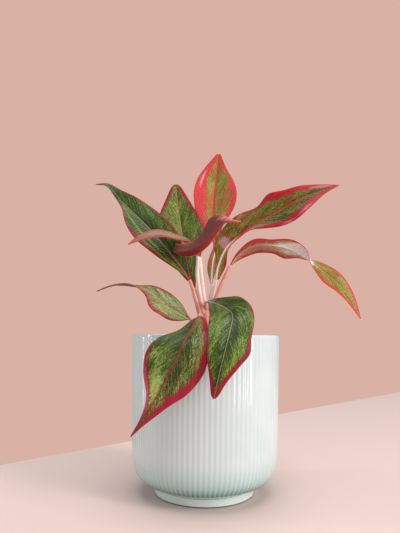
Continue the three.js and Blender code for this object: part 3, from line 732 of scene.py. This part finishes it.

# %% [markdown]
# ## Markings of each leaf
#
# No two leaves of this kind are marked alike. Crimson runs in from each margin and breaks up into
# specks, and on some leaves it takes the whole half. Yellow-green specks crowd in places, and on others
# lies a grey waxy bloom mixed with painted sheen: pale, bluish and pink patches where the gloss catches
# light.
#
# Each marking has one list for the left half and one for the right, in per cent from base to tip, so it
# stretches with the leaf. Red is the share of a half that the band from its margin takes. The fleck and
# pale lists say how strong the lone red flecks and the pale specks are, and the bloom list how strong the
# waxy bloom and its painted sheen are. A spot is a soft oval on top of that.

# %% Marking values
CRIMSON = (158, 22, 40)
# The bloom lists, spots and colour of each leaf give a waxy bloom together with painted sheen: pale, bluish
# and pink patches where the gloss catches light.
MARKINGS = {
    "leaf_upper_left": dict(
        red=([8, 16, 19, 17, 20, 30], [4, 8, 8, 8, 10, 20]),
        fleck=([5], [8]),
        pale=([10], [10, 0, 0, 10, 20]),
        bloom=([0, 25, 45, 50, 30], [0, 0, 5, 10]),
        spots=[("pale", 0.42, -0.5, 38, 1.0, 1.1), ("bloom", 0.42, -0.5, 38, 1.3, -0.6),
               ("pale", 0.3, -0.76, 26, 1.5, 1.0), ("bloom", 0.3, -0.76, 26, 2.0, -0.5),
               ("pale", 0.5, 0.75, 34, 5, 0.45), ("bloom", 0.92, 0, 8, 5, 0.6)],
        colors={"Dark": (28, 50, 20), "Light": (80, 108, 36), "Pale": (150, 160, 66),
                "Bloom": (106, 134, 104), "Red": CRIMSON, "Rib": (150, 136, 84),
                "Rib base": (208, 96, 84), "Rib width": 0.5, "Vein": 0.7}),
    "leaf_upper_back": dict(
        red=([8, 6, 5, 8, 20, 50], [6, 4, 5, 9, 22, 50]),
        fleck=([0, 0, 10, 20, 30], [0, 0, 10, 24, 30]),
        pale=([30, 35, 50, 50], [0, 10, 30, 45]),
        bloom=([0, 0, 30, 10], [0, 0, 10, 0]),
        colors={"Dark": (52, 72, 22), "Light": (106, 122, 44), "Pale": (172, 172, 86),
                "Bloom": (128, 146, 104), "Red": CRIMSON, "Rib": (204, 134, 78),
                "Rib base": (210, 36, 40), "Rib width": 0.6, "Vein": 0.8}),
    "leaf_centre_red": dict(
        red=([30, 30, 35, 50, 78, 74, 62, 62, 95], [30, 25, 25, 28, 30, 30, 30, 30, 90]),
        fleck=([30, 30, 42, 50, 46], [20, 20, 36, 40, 38]),
        pale=([100, 100, 60, 60], [100, 100, 40, 30]),
        bloom=([0], [0]),
        spots=[("red", 0.52, -0.6, 17, 9, -0.52), ("red", 0.74, 0.1, 14, 6, -0.2),
               ("bloom", 0.8, -0.76, 12, 1.6, 0.95), ("red", 0.8, -0.25, 12, 3.5, -0.3)],
        colors={"Dark": (92, 112, 26), "Light": (132, 148, 52), "Pale": (160, 172, 90),
                "Bloom": (244, 176, 182), "Red": (226, 66, 72), "Rim": (206, 34, 54),
                "Rib": (222, 50, 66), "Rib base": (255, 240, 230), "Rib width": 2.1, "Rib start": 0.36,
                "Break": 2.0}),
    "leaf_rolled": dict(
        red=([90, 95, 95, 100], [30, 20, 10, 10, 25, 80]),
        fleck=([45], [36, 40, 42, 50]),
        pale=([0], [20]),
        bloom=([0], [0]),
        spots=[("bloom", 0.88, 0.4, 10, 5, 0.8), ("bloom", 0.8, -1.0, 34, 1.8, 1.1),
               ("bloom", 0.8, 1.0, 22, 2.2, 1.2), ("bloom", 0.79, 0.55, 5, 3, -0.8)],
        colors={"Dark": (92, 104, 76), "Light": (96, 96, 56), "Pale": (130, 120, 84),
                "Bloom": (222, 124, 116), "Red": (128, 16, 26), "Rim": (226, 116, 108),
                "Rib": (150, 60, 56), "Rib base": (150, 60, 56), "Under": (104, 54, 50),
                "Under red": (146, 22, 34), "Rib width": 0.1, "Rim width": 2.2, "Break": 1.4}),
    "leaf_thin_left": dict(
        red=([30, 30, 35, 50, 95], [30, 30, 42, 55, 95]),
        fleck=([42, 42, 40], [42, 42, 42]),
        pale=([30], [40, 60, 60]),
        bloom=([10, 20, 10], [30, 60, 60, 50]),
        colors={"Dark": (52, 66, 26), "Light": (112, 126, 62), "Pale": (156, 170, 110),
                "Bloom": (172, 140, 130), "Red": (184, 48, 62), "Rim": (208, 42, 58),
                "Rib": (200, 90, 90), "Rib base": (200, 90, 90), "Under": (160, 96, 90),
                "Under red": (200, 40, 56), "Break": 1.7}),
    "leaf_right": dict(
        red=([40, 20, 8, 10, 16, 40, 44, 62, 95], [30, 30, 30, 26, 30, 34, 45, 70, 95]),
        fleck=([30, 38, 38, 38, 34, 30], [20, 28, 34, 36, 36]),
        pale=([110, 60, 50, 50, 30], [110, 60, 50, 40, 30]),
        bloom=([0], [10, 20, 10, 10]),
        spots=[("bloom", 0.23, -0.3, 4, 5.5, 2.0), ("bloom", 0.63, 0.92, 7, 1.8, 0.8),
               ("bloom", 0.76, 0.85, 8, 2.2, 0.9), ("bloom", 0.9, -0.6, 14, 2.5, 0.8),
               ("bloom", 0.4, 0.55, 26, 2.2, 0.55)],
        colors={"Dark": (46, 72, 16), "Light": (86, 106, 30), "Pale": (152, 160, 66),
                "Bloom": (206, 140, 150), "Red": (182, 6, 34), "Rim": (196, 32, 52), "Rib": (224, 40, 40),
                "Rib base": (255, 240, 232), "Rib width": 0.9, "Break": 1.25}),
    "leaf_right_drooping": dict(
        red=([40, 40, 35, 35, 35, 30, 18, 20, 24, 36, 90], [90, 90, 80, 50, 20, 10, 20, 24, 26, 36, 90]),
        fleck=([36, 36, 30, 20, 30], [40, 36, 30, 25, 30]),
        pale=([50], [50]),
        bloom=([10, 20, 35, 60, 80, 70, -20, 0, 0, 0], [10, 20, 35, 75, 100, 80, -20, 0, 0, 0]),
        spots=[("bloom", 0.45, -1.0, 34, 3.4, -1.5), ("bloom", 0.34, 1.0, 26, 3, -1.3),
               ("bloom", 0.5, 0.6, 10, 5, 1.0)],
        colors={"Dark": (86, 94, 24), "Light": (128, 130, 44), "Pale": (166, 162, 72),
                "Bloom": (252, 240, 236), "Red": (222, 36, 44), "Rim": (204, 36, 50),
                "Rib": (208, 184, 136), "Rib base": (210, 160, 118), "Under": (190, 146, 112),
                "Under red": (204, 40, 58), "Rib width": 0.3, "Rim width": 1.1, "Break": 2.0}),
    "leaf_lower_left": dict(
        red=([10, 20, 30, 32, 30], [6, 18, 30, 34]),
        fleck=([30, 42, 44, 30], [25, 40, 40]),
        pale=([60], [50]),
        bloom=([30, 35, 50], [30, 30, 40]),
        colors={"Dark": (62, 92, 40), "Light": (124, 150, 78), "Pale": (190, 204, 140),
                "Bloom": (196, 200, 176), "Red": (160, 30, 58), "Rib": (190, 84, 90),
                "Rib base": (186, 50, 60), "Under": (126, 98, 54), "Under red": (140, 40, 44),
                "Rib width": 0.55}),
    "leaf_front_left": dict(
        red=([44, 42, 34, 28, 32, 44, 60, 90], [-10, -10, -8, 3, 32, 56, 90]),
        fleck=([20, 22, 24, 28, 34], [-20, -20, 10, 30, 30]),
        pale=([35, 35, 35, 35, 30], [-10, -30, -20, 0, 20, 30]),
        bloom=([0, -10, 0, 5], [-10, -10, 0, 0, 5]),
        spots=[("bloom", 0.72, 0.92, 26, 2.6, 0.8), ("pale", 0.7, 0.34, 17, 6.5, 1.25),
               ("pale", 0.5, 0.7, 11, 6, 0.6), ("pale", 0.35, -0.7, 26, 5, 0.5),
               ("pale", 0.55, -0.15, 34, 3, -0.5), ("red", 0.3, 0.75, 12, 3.5, 0.3),
               ("red", 0.78, -0.5, 30, 6, 0.12)],
        colors={"Dark": (40, 56, 18), "Light": (96, 116, 40), "Pale": (176, 196, 110),
                "Bloom": (196, 104, 122), "Red": (160, 20, 42), "Rim": (184, 32, 60),
                "Rib": (150, 34, 42), "Rib base": (170, 52, 50), "Rib width": 0.8, "Break": 1.35,
                "Vein": 0.6}),
    "leaf_front_right": dict(
        red=([0, -4, -6, -6, 20, 40, 120], [20, 10, 4, 2, 4, 20, 120]),
        fleck=([0, 10, 10, 20, 20], [10, 15, 10, 25]),
        pale=([-10, 15, 45, 55], [10, 40, 45, 30]),
        bloom=([30, 32, 16, 0, 0], [40, 25, 0, 0, 0]),
        spots=[("bloom", 0.5, 0.18, 10, 3, 0.6), ("bloom", 0.7, 0.22, 22, 3.0, 0.62),
               ("bloom", 0.06, 0.2, 8, 6, 0.8), ("pale", 0.62, -0.14, 34, 3.5, -0.8),
               ("pale", 0.62, 0.1, 34, 2.5, -0.4), ("red", 0.46, -0.95, 4, 3, 0.5)],
        colors={"Dark": (34, 52, 16), "Light": (84, 110, 30), "Pale": (158, 178, 76),
                "Bloom": (112, 138, 120), "Red": (142, 10, 26), "Rim": (146, 14, 30),
                "Rib": (150, 140, 90), "Rib base": (176, 164, 130), "Rib width": 0.4, "Vein": 1.2}),
}

# %% [markdown]
# ## A leaf blade
#
# A blade is a thin closed sheet. It could be a plane with a Solidify modifier, but then its lower side
# couldn't have a rib that stands out. Here a grid of points gives the middle of the sheet, the upper
# and lower sides lie off it along its normal, and each row of both sides is one closed ring.
#
# The side veins leave the rib at a wide angle and bend towards the tip. One number that is the same
# all along a vein, in millimetres, lets the material draw veins and long flecks that follow them.

# %% Blade surface
ROWS = 150
COLUMNS = 22  # on each side of the rib
SHEET = 0.62  # mm that a blade is thick
MARGIN = 0.26  # mm that it is thick at its very edge
MARGIN_SLOPE = 0.25  # mm that it gains with each mm from the edge
RIB_DEPTH = 1.0  # mm that the rib stands out below
RIB_SPREAD = 1.1  # mm on each side
RIB_TAPER = 0.75  # share of its size that it has lost by the tip
CHANNEL_DEPTH = 0.35  # mm that the upper side dips over the rib
CHANNEL_SPREAD = 0.6  # mm on each side
RIPPLES = 3  # waves along a margin
VEIN_GAP = 5.5  # mm between two side veins along the rib
VEIN_LEAN = (1.4, 0.8)  # widths that a vein runs on towards the tip: across a half, and its bend
VEIN_MAP = 10.0  # mm for one unit of the vein map
PUFF = 0.30  # mm that the skin rises between two veins
PUFF_WIDTH = 12.0  # mm, and a half that is narrower rises less
RED_EDGE = 2.2  # how fast the red value rises across a half


def blade_grid(leaf, rows, columns):
    """The middle of a blade as rows of points across its rib, with its normals and measures.

    The rib is walked in even steps. At each step the face vector, made square to the rib, is up, and
    the rib crossed with up is out. A half is an arc that leaves the rib at its lift and turns by its
    curl: at the share s of the width w it lies w (sin(lift + curl s) - sin lift) / curl out and
    w (cos lift - cos(lift + curl s)) / curl up. The margin ripples in sine waves.

    A blunt tip shrinks like a quarter of an ellipse over its share of the length. The number that is
    the same all along a vein is the place on the rib less s w (1.4 + 0.8 s).
    """
    path = leaf["stalk"] + leaf["rib"]
    rib, length = even_points(path, len(leaf["stalk"]), len(path) - 1, rows)
    along = tangents(rib)
    t = np.linspace(0, 1, rows)[:, None]
    v = np.linspace(-1, 1, 2 * columns + 1)[None]
    share = np.abs(v)
    is_left = v < 0
    face = keyed(leaf["face"], t[:, 0])
    up = unit(face - along * np.sum(face * along, axis=1, keepdims=True))
    out = np.cross(along, up)

    def sided(left, right):
        """The value of each half's list, at every row and column."""
        return np.where(is_left, keyed(left, t[:, 0])[:, None], keyed(right, t[:, 0])[:, None])

    width = sided(leaf["left"], leaf["right"])
    if "blunt" in leaf:
        past = np.clip(1 - (1 - t) / leaf["blunt"], 0, 0.99)
        width = width * np.sqrt(1 - past**2)
    lift = np.radians(sided(leaf.get("liftLeft", LIFT), leaf.get("liftRight", LIFT)))
    curl = np.radians(sided(leaf.get("curlLeft", CURL), leaf.get("curlRight", CURL)))
    x = width * (np.sin(lift + curl * share) - np.sin(lift)) / curl
    z = width * (np.cos(lift) - np.cos(lift + curl * share)) / curl
    phase = 2 * math.pi * RIPPLES * t + np.where(is_left, math.pi / 2, 0)
    ripple = leaf.get("wave", 0) * share**2 * np.sin(phase) * np.sin(math.pi * t)
    vein = t * length - share * width * (VEIN_LEAN[0] + VEIN_LEAN[1] * share)
    puff = PUFF * np.sin(2 * math.pi * vein / VEIN_GAP) * np.minimum(share * (1 - share) * 4, 1)
    puff = puff * np.minimum(width / PUFF_WIDTH, 1)
    rise = (z + ripple + puff)[..., None] * up[:, None]
    grid = rib[:, None] + (np.sign(v) * x)[..., None] * out[:, None] + rise
    normal = unit(np.cross(np.gradient(grid, axis=1), np.gradient(grid, axis=0)))
    return dict(grid=grid, normal=normal, t=t, v=v, share=share, is_left=is_left, width=width,
                vein=vein, length=length)


def marking(marks, key, b):
    """A marking's value at every point from its two lists in per cent, and what its spots add.

    A spot holds the marking's name, its place along the rib (0 to 1) and across it (-1 to 1), its
    length and width in millimetres, and its amount. It adds the amount times e to the power of minus
    the squared distance from its middle, counted in its own length along the rib and width across it.
    """
    left, right = (keyed(half, b["t"][:, 0])[:, None] / 100 for half in marks[key])
    spots = np.zeros(b["grid"].shape[:2])
    for kind, t, v, long, wide, amount in marks.get("spots", []):
        if kind == key:
            along = (b["t"] - t) * b["length"] / long
            across = (b["v"] - v) * b["width"] / wide
            spots = spots + amount * np.exp(-(along**2) - across**2)
    return np.where(b["is_left"], left, right), spots


def blade(name, leaf, marks):
    """A closed sheet: the upper side from left to right and the lower side back, as one ring a row.

    The rib below and the channel over it are bell curves of the distance from the rib's middle. The
    red value is a half where the band from the margin ends.
    """
    b = blade_grid(leaf, ROWS, COLUMNS)
    rib_mm = b["share"] * b["width"]
    edge_mm = b["width"] - rib_mm
    rib_size = (1 - RIB_TAPER * b["t"]) * np.exp(-((rib_mm / RIB_SPREAD) ** 2))
    thick = np.minimum(SHEET, MARGIN + MARGIN_SLOPE * edge_mm)
    above = thick / 2 - CHANNEL_DEPTH * rib_size * np.exp(-((rib_mm / CHANNEL_SPREAD) ** 2))
    below = thick / 2 + RIB_DEPTH * rib_size
    upper = b["grid"] + b["normal"] * above[..., None]
    lower = b["grid"] - b["normal"] * below[..., None]
    rings = np.concatenate([upper, lower[:, ::-1]], axis=1)
    sides = rings.shape[1]
    across = sides // 2

    def both(numbers):
        """The same values on the upper side and, backwards, on the lower side."""
        numbers = np.broadcast_to(numbers, b["grid"].shape[:2])
        return np.concatenate([numbers, numbers[:, ::-1]], axis=1)

    red_band, red_spots = marking(marks, "red", b)
    flecks, _ = marking(marks, "fleck", b)
    red = np.maximum(0.5 + (b["share"] - 1 + red_band) * RED_EDGE, flecks) + red_spots
    pale = sum(marking(marks, "pale", b))
    # The bloom value also carries painted sheen, patches where the gloss catches light.
    bloom = sum(marking(marks, "bloom", b))
    lower_side = np.zeros(rings.shape[:2])
    lower_side[:, across:] = 1
    values = {"rib_mm": both(rib_mm), "edge_mm": both(edge_mm), "red": both(np.clip(red, 0, 1)),
              "pale": both(np.clip(pale, -1, 1)), "bloom": both(np.clip(bloom, 0, 1)),
              "lower_side": lower_side, "run": both(b["t"])}
    veins = np.stack([both(b["v"] * b["width"]), both(b["vein"])], axis=-1) / VEIN_MAP
    j = np.arange(across - 1)
    first_end = np.stack([j, sides - 1 - j, sides - 2 - j, j + 1], axis=-1)
    last_end = first_end[:, ::-1] + (ROWS - 1) * sides
    faces = ring_quads(ROWS, sides) + first_end.tolist() + last_end.tolist()
    return new_piece(name.replace("leaf", "blade"), rings, faces, values, {"veins": veins})


# %% [markdown]
# ## Leaf colour
#
# One node group paints every blade, with its own colours each time. From below to above it lays down:
# dark and light green in fine specks, yellow-green specks where they crowd, thin pale vein lines, red
# where the stored red value and the specks together pass a half, the grey waxy bloom mixed with painted
# sheen in streaks along the veins, the midrib with painted shade beside it, and a crimson rim. The
# lower side is duller: its green and its red are mixed with a greyish brown.
#
# Specks come from noise on the vein map, whose two numbers run across the leaf and from vein to vein,
# so a speck is stretched along the veins and follows every twist of the blade. Break is how far the
# specks eat into the red, Vein is how strong the pale lines are, and Rib start is the share of its
# width that the drawn rib has near the leaf's base.

# %% Leaf node group
PINK_GRAIN = srgb(236, 150, 150)

# The Bloom colour is a waxy bloom together with painted sheen.
g, given = new_group(
    "aglaonema_blade",
    {"Dark": (48, 68, 32), "Light": (86, 106, 48), "Pale": (150, 156, 76),
     "Bloom": (112, 136, 112), "Red": CRIMSON, "Rim": (140, 18, 36),
     "Rib": (204, 158, 116), "Rib base": (204, 96, 88), "Under": (132, 122, 88),
     "Under red": (140, 44, 52), "Seed": 0.0, "Break": 1.0, "Vein": 0.4, "Rib width": 0.75,
     "Rib start": 1.0, "Rim width": 0.8})
veins = g.add("ShaderNodeUVMap", uv_map="veins").outputs[0]
seeded = g.add("ShaderNodeCombineXYZ", {"Z": given["Seed"]}).outputs[0]
rib = g.value("rib_mm")
edge = g.value("edge_mm")
lower = g.value("lower_side")
run = g.value("run")


def grain(across, from_vein_to_vein, detail=2.0, rough=0.6):
    """Noise on the vein map, with so many grains to its unit in each direction."""
    return g.noise(g.scaled(veins, (across, from_vein_to_vein, 0), seeded), 1.0, detail, rough)


speck = grain(18.0, 6.0)
fine = grain(36.0, 12.0)
streak = grain(3.4, 4.6, 3.0, 0.65)
thread = grain(0.8, 5.5)
broad = grain(1.6, 0.8, rough=0.5)

shade = g.times(g.value("pale"), 0.3)
mottle = g.plus(0.42, shade, g.centred(speck, 0.8), g.centred(fine, 0.5), g.centred(streak, 0.3),
               g.centred(thread, 0.7), g.centred(broad, 0.6))
green = g.mix(g.ramp(mottle, 0.3, 0.72), given["Dark"], given["Light"])
pale_at = g.plus(g.value("pale"), g.centred(speck, 2.8), g.centred(fine, 1.6), g.centred(broad, 1.2))
green = g.mix(g.ramp(pale_at, 0.35, 1.05, 0.0, 0.85), green, given["Pale"])

vein_place = g.add("ShaderNodeSeparateXYZ", {0: veins}).outputs["Y"]
vein_turn = g.plus(g.times(vein_place, VEIN_MAP / VEIN_GAP), g.centred(broad, 0.5))
ridge = g.math("ABSOLUTE", g.minus(g.math("FRACT", vein_turn), 0.5))
vein_line = g.times(g.ramp(ridge, 0.06, 0.0), g.ramp(rib, 0.2, 2.0))
broken_line = g.times(vein_line, g.ramp(broad, 0.40, 0.56))
green = g.mix(g.times(broken_line, given["Vein"], clamp=True), green, given["Pale"])

broken = g.plus(g.centred(speck, 0.8), g.centred(fine, 0.3), g.centred(streak, 1.35))
red_at = g.plus(g.value("red"), g.times(broken, given["Break"]))
red_mask = g.ramp(red_at, 0.48, 0.56)
red_tone = g.mix(g.ramp(broad, 0.3, 0.75, 0.0, 0.4), given["Red"], given["Rim"])
red_tone = g.mix(g.ramp(fine, 0.45, 0.7, 0.0, 0.06), red_tone, PINK_GRAIN)
upper_color = g.mix(red_mask, green, red_tone)

under_dark = g.mix(0.45, given["Dark"], given["Under"])
under_color = g.mix(g.ramp(streak, 0.42, 0.62, 0.0, 0.8), given["Under"], under_dark)
under_color = g.mix(g.times(red_mask, 0.85), under_color, given["Under red"])
color = g.mix(lower, upper_color, under_color)

# Painted sheen: the bloom colour, in streaks along the veins, also stands for gloss where light catches the
# blade.
bloom_and_sheen_at = g.plus(g.value("bloom"), g.centred(streak, 1.6), g.centred(speck, 0.6))
color = g.mix(g.ramp(bloom_and_sheen_at, 0.3, 1.0, 0.0, 0.85), color, given["Bloom"])

rib_width = g.times(given["Rib width"], g.minus(1.2, run))
rib_width = g.times(rib_width, g.ramp(run, 0.26, 0.42, given["Rib start"], 1.0))
from_rib = g.minus(rib, rib_width)
# Painted shade: the upper side is darkened towards Dark in a band beside the drawn rib, and less so near the
# base.
rib_side_shade = g.times(g.ramp(from_rib, 2.2, 0.1, 0.0, 0.5), g.minus(1.0, lower))
rib_side_shade = g.times(rib_side_shade, g.ramp(run, 0.15, 0.35))
color = g.mix(rib_side_shade, color, g.mix(0.6, color, given["Dark"]))
rib_tone = g.mix(g.ramp(run, 0.2, 0.34), given["Rib base"], given["Rib"])
rib_tone = g.mix(g.times(lower, 0.5), rib_tone, given["Under"])
color = g.mix(g.ramp(from_rib, 0.25, -0.15), color, rib_tone)
color = g.mix(g.ramp(edge, given["Rim width"], 0.3, 0.0, 0.85), color, given["Rim"])

rough = g.plus(g.ramp(streak, 0.3, 0.7, 0.36, 0.44), g.times(lower, 0.12))
height = g.plus(g.times(vein_line, -0.6), g.times(fine, 0.25))
g.add("NodeGroupOutput", {"Color": color, "Roughness": rough, "Height": height})

WAXY = {"Specular IOR Level": 0.27, "Subsurface Weight": 0.05, "Subsurface Scale": 0.002,
        "Subsurface Radius": (1.0, 0.6, 0.3)}
SEED_STEP = 3.7  # moves the grains of one leaf well away from those of the next
for number, (name, leaf) in enumerate(LEAVES.items()):
    marks = MARKINGS[name]
    skin = new_material(name.replace("leaf", "blade") + "_skin", g.tree,
                        {**marks["colors"], "Seed": SEED_STEP * number}, WAXY, bump=(0.4, 0.0004))
    place(blade(name, leaf, marks), name, skin)

# %% [markdown]
# ## Stem and stalks
#
# The ten stalks grow from one short stem. A stalk is round below and has a shallow channel on the side
# that faces the stem, where it once wrapped the next leaf. Tubes of rings follow the same lines as the
# solids, and run into each other at the crown, as the real ones do.

# %% Tubes along lines
STEM_ROWS = 60
STEM_SIDES = 28
STEM_FIT = 0.99  # keeps the finer stem inside the solid one
SCAR_WAVE = 60.0  # radians of swelling and shrinking over the whole stem
SCAR_RISE = 0.05  # share of the radius
STALK_ROWS = 41
STALK_SIDES = 20
STALK_GAP = 0.8  # mm between a stalk's end and its blade
CHANNEL = 0.22  # share of a stalk's radius that its channel is deep
CHANNEL_ANGLE = 0.55  # radians on each side
STALK_PINK = {"leaf_upper_left": 0.95, "leaf_upper_back": 0.7, "leaf_right_drooping": 0.9,
              "leaf_lower_left": 0.9, "leaf_front_left": 1.0, "leaf_front_right": 0.7}
OTHER_PINK = 0.12
STEM_PINK = 1.2
CROWN_BLUSH = 0.9  # how much pinker a stalk is at the crown
BLUSH_REACH = 0.4  # share of the stalk


def tube(points, radii, sides, channel=0.0):
    """Rings square to a line of points, with a channel on the side that looks at the stem's line.

    That side is straight up, less its part along the line. The channel is a bell curve of the angle
    from there. A tiny step is added, because on an upright line nothing would be left.
    """
    along = tangents(points)
    inward = unit(np.array([0.0, 0.0, 1.0]) - along * along[:, 2:] + 1e-6)
    side = np.cross(along, inward)
    angle = np.linspace(0, 2 * math.pi, sides, endpoint=False)
    from_channel = np.minimum(angle, 2 * math.pi - angle)
    dip = 1 - channel * np.exp(-((from_channel / CHANNEL_ANGLE) ** 2))
    r = (np.asarray(radii)[:, None] * dip[None])[..., None]
    ring = inward[:, None] * np.cos(angle)[None, :, None] + side[:, None] * np.sin(angle)[None, :, None]
    return points[:, None] + ring * r


def joined(tubes):
    """Several tubes as one list of points and faces, each closed by a flat cap at both ends."""
    points, faces = [], []
    start = 0
    for rings in tubes:
        count, sides = rings.shape[:2]
        own = ring_quads(count, sides) + end_caps(count, sides)
        faces += [[corner + start for corner in face] for face in own]
        points.append(rings.reshape(-1, 3))
        start += count * sides
    return np.concatenate(points), faces


stem, _ = even_points(STEM_LINE, 0, len(STEM_LINE) - 1, STEM_ROWS)
height = np.linspace(0, 1, STEM_ROWS)
swell = 1 + SCAR_RISE * np.sin(height * SCAR_WAVE) * smoothstep(height, 0.5, 0.6)
tubes = [tube(stem, keyed(STEM_RADII, height) * swell * STEM_FIT, STEM_SIDES)]
pinks = [np.full(STEM_ROWS * STEM_SIDES, STEM_PINK)]
for name, leaf in LEAVES.items():
    path = leaf["stalk"] + leaf["rib"]
    _, stalk_length = even_points(path, 0, len(leaf["stalk"]), STALK_ROWS)
    reach = 1 - STALK_GAP / stalk_length
    line, _ = even_points(path, 0, len(leaf["stalk"]) * reach, STALK_ROWS)
    t = np.linspace(0, reach, STALK_ROWS)
    pink = STALK_PINK.get(name, OTHER_PINK) + CROWN_BLUSH * np.maximum(1 - t / BLUSH_REACH, 0)
    tubes.append(tube(line, keyed(STALK_RADII, t), STALK_SIDES, CHANNEL))
    pinks.append(np.repeat(pink, STALK_SIDES))
stalks = new_piece("stem_with_stalks", *joined(tubes), {"pink": np.concatenate(pinks)})
print("tubes:", len(tubes))

# %% Stalk material
g, given = new_group(
    "fleshy_stalk",
    {"Cream": (250, 234, 222), "Pink": (232, 148, 134), "Brown": (208, 140, 112)})
where = g.add("ShaderNodeTexCoord").outputs["Object"]
fibre = g.noise(g.scaled(where, (900, 900, 60)), 1.0, 3.0)
blotch = g.noise(where, 90.0, 3.0)
pink_at = g.plus(g.value("pink"), g.centred(blotch, 0.5), clamp=True)
flesh = g.mix(pink_at, given["Cream"], given["Pink"])
flesh = g.mix(g.ramp(fibre, 0.4, 0.7, 0.0, 0.35), flesh, given["Cream"])
flesh = g.mix(g.ramp(g.value("pink"), 1.05, 1.2, 0.0, 0.7), flesh, given["Brown"])
g.add("NodeGroupOutput", {"Color": flesh, "Roughness": g.ramp(fibre, 0.3, 0.7, 0.38, 0.5), "Height": fibre})
fleshy = new_material("stalk_flesh", g.tree, {},
                      {"Subsurface Weight": 0.25, "Subsurface Scale": 0.003,
                       "Subsurface Radius": (1.0, 0.5, 0.4)}, bump=(0.3, 0.0002))
place(stalks, "stem_and_stalks", fleshy)
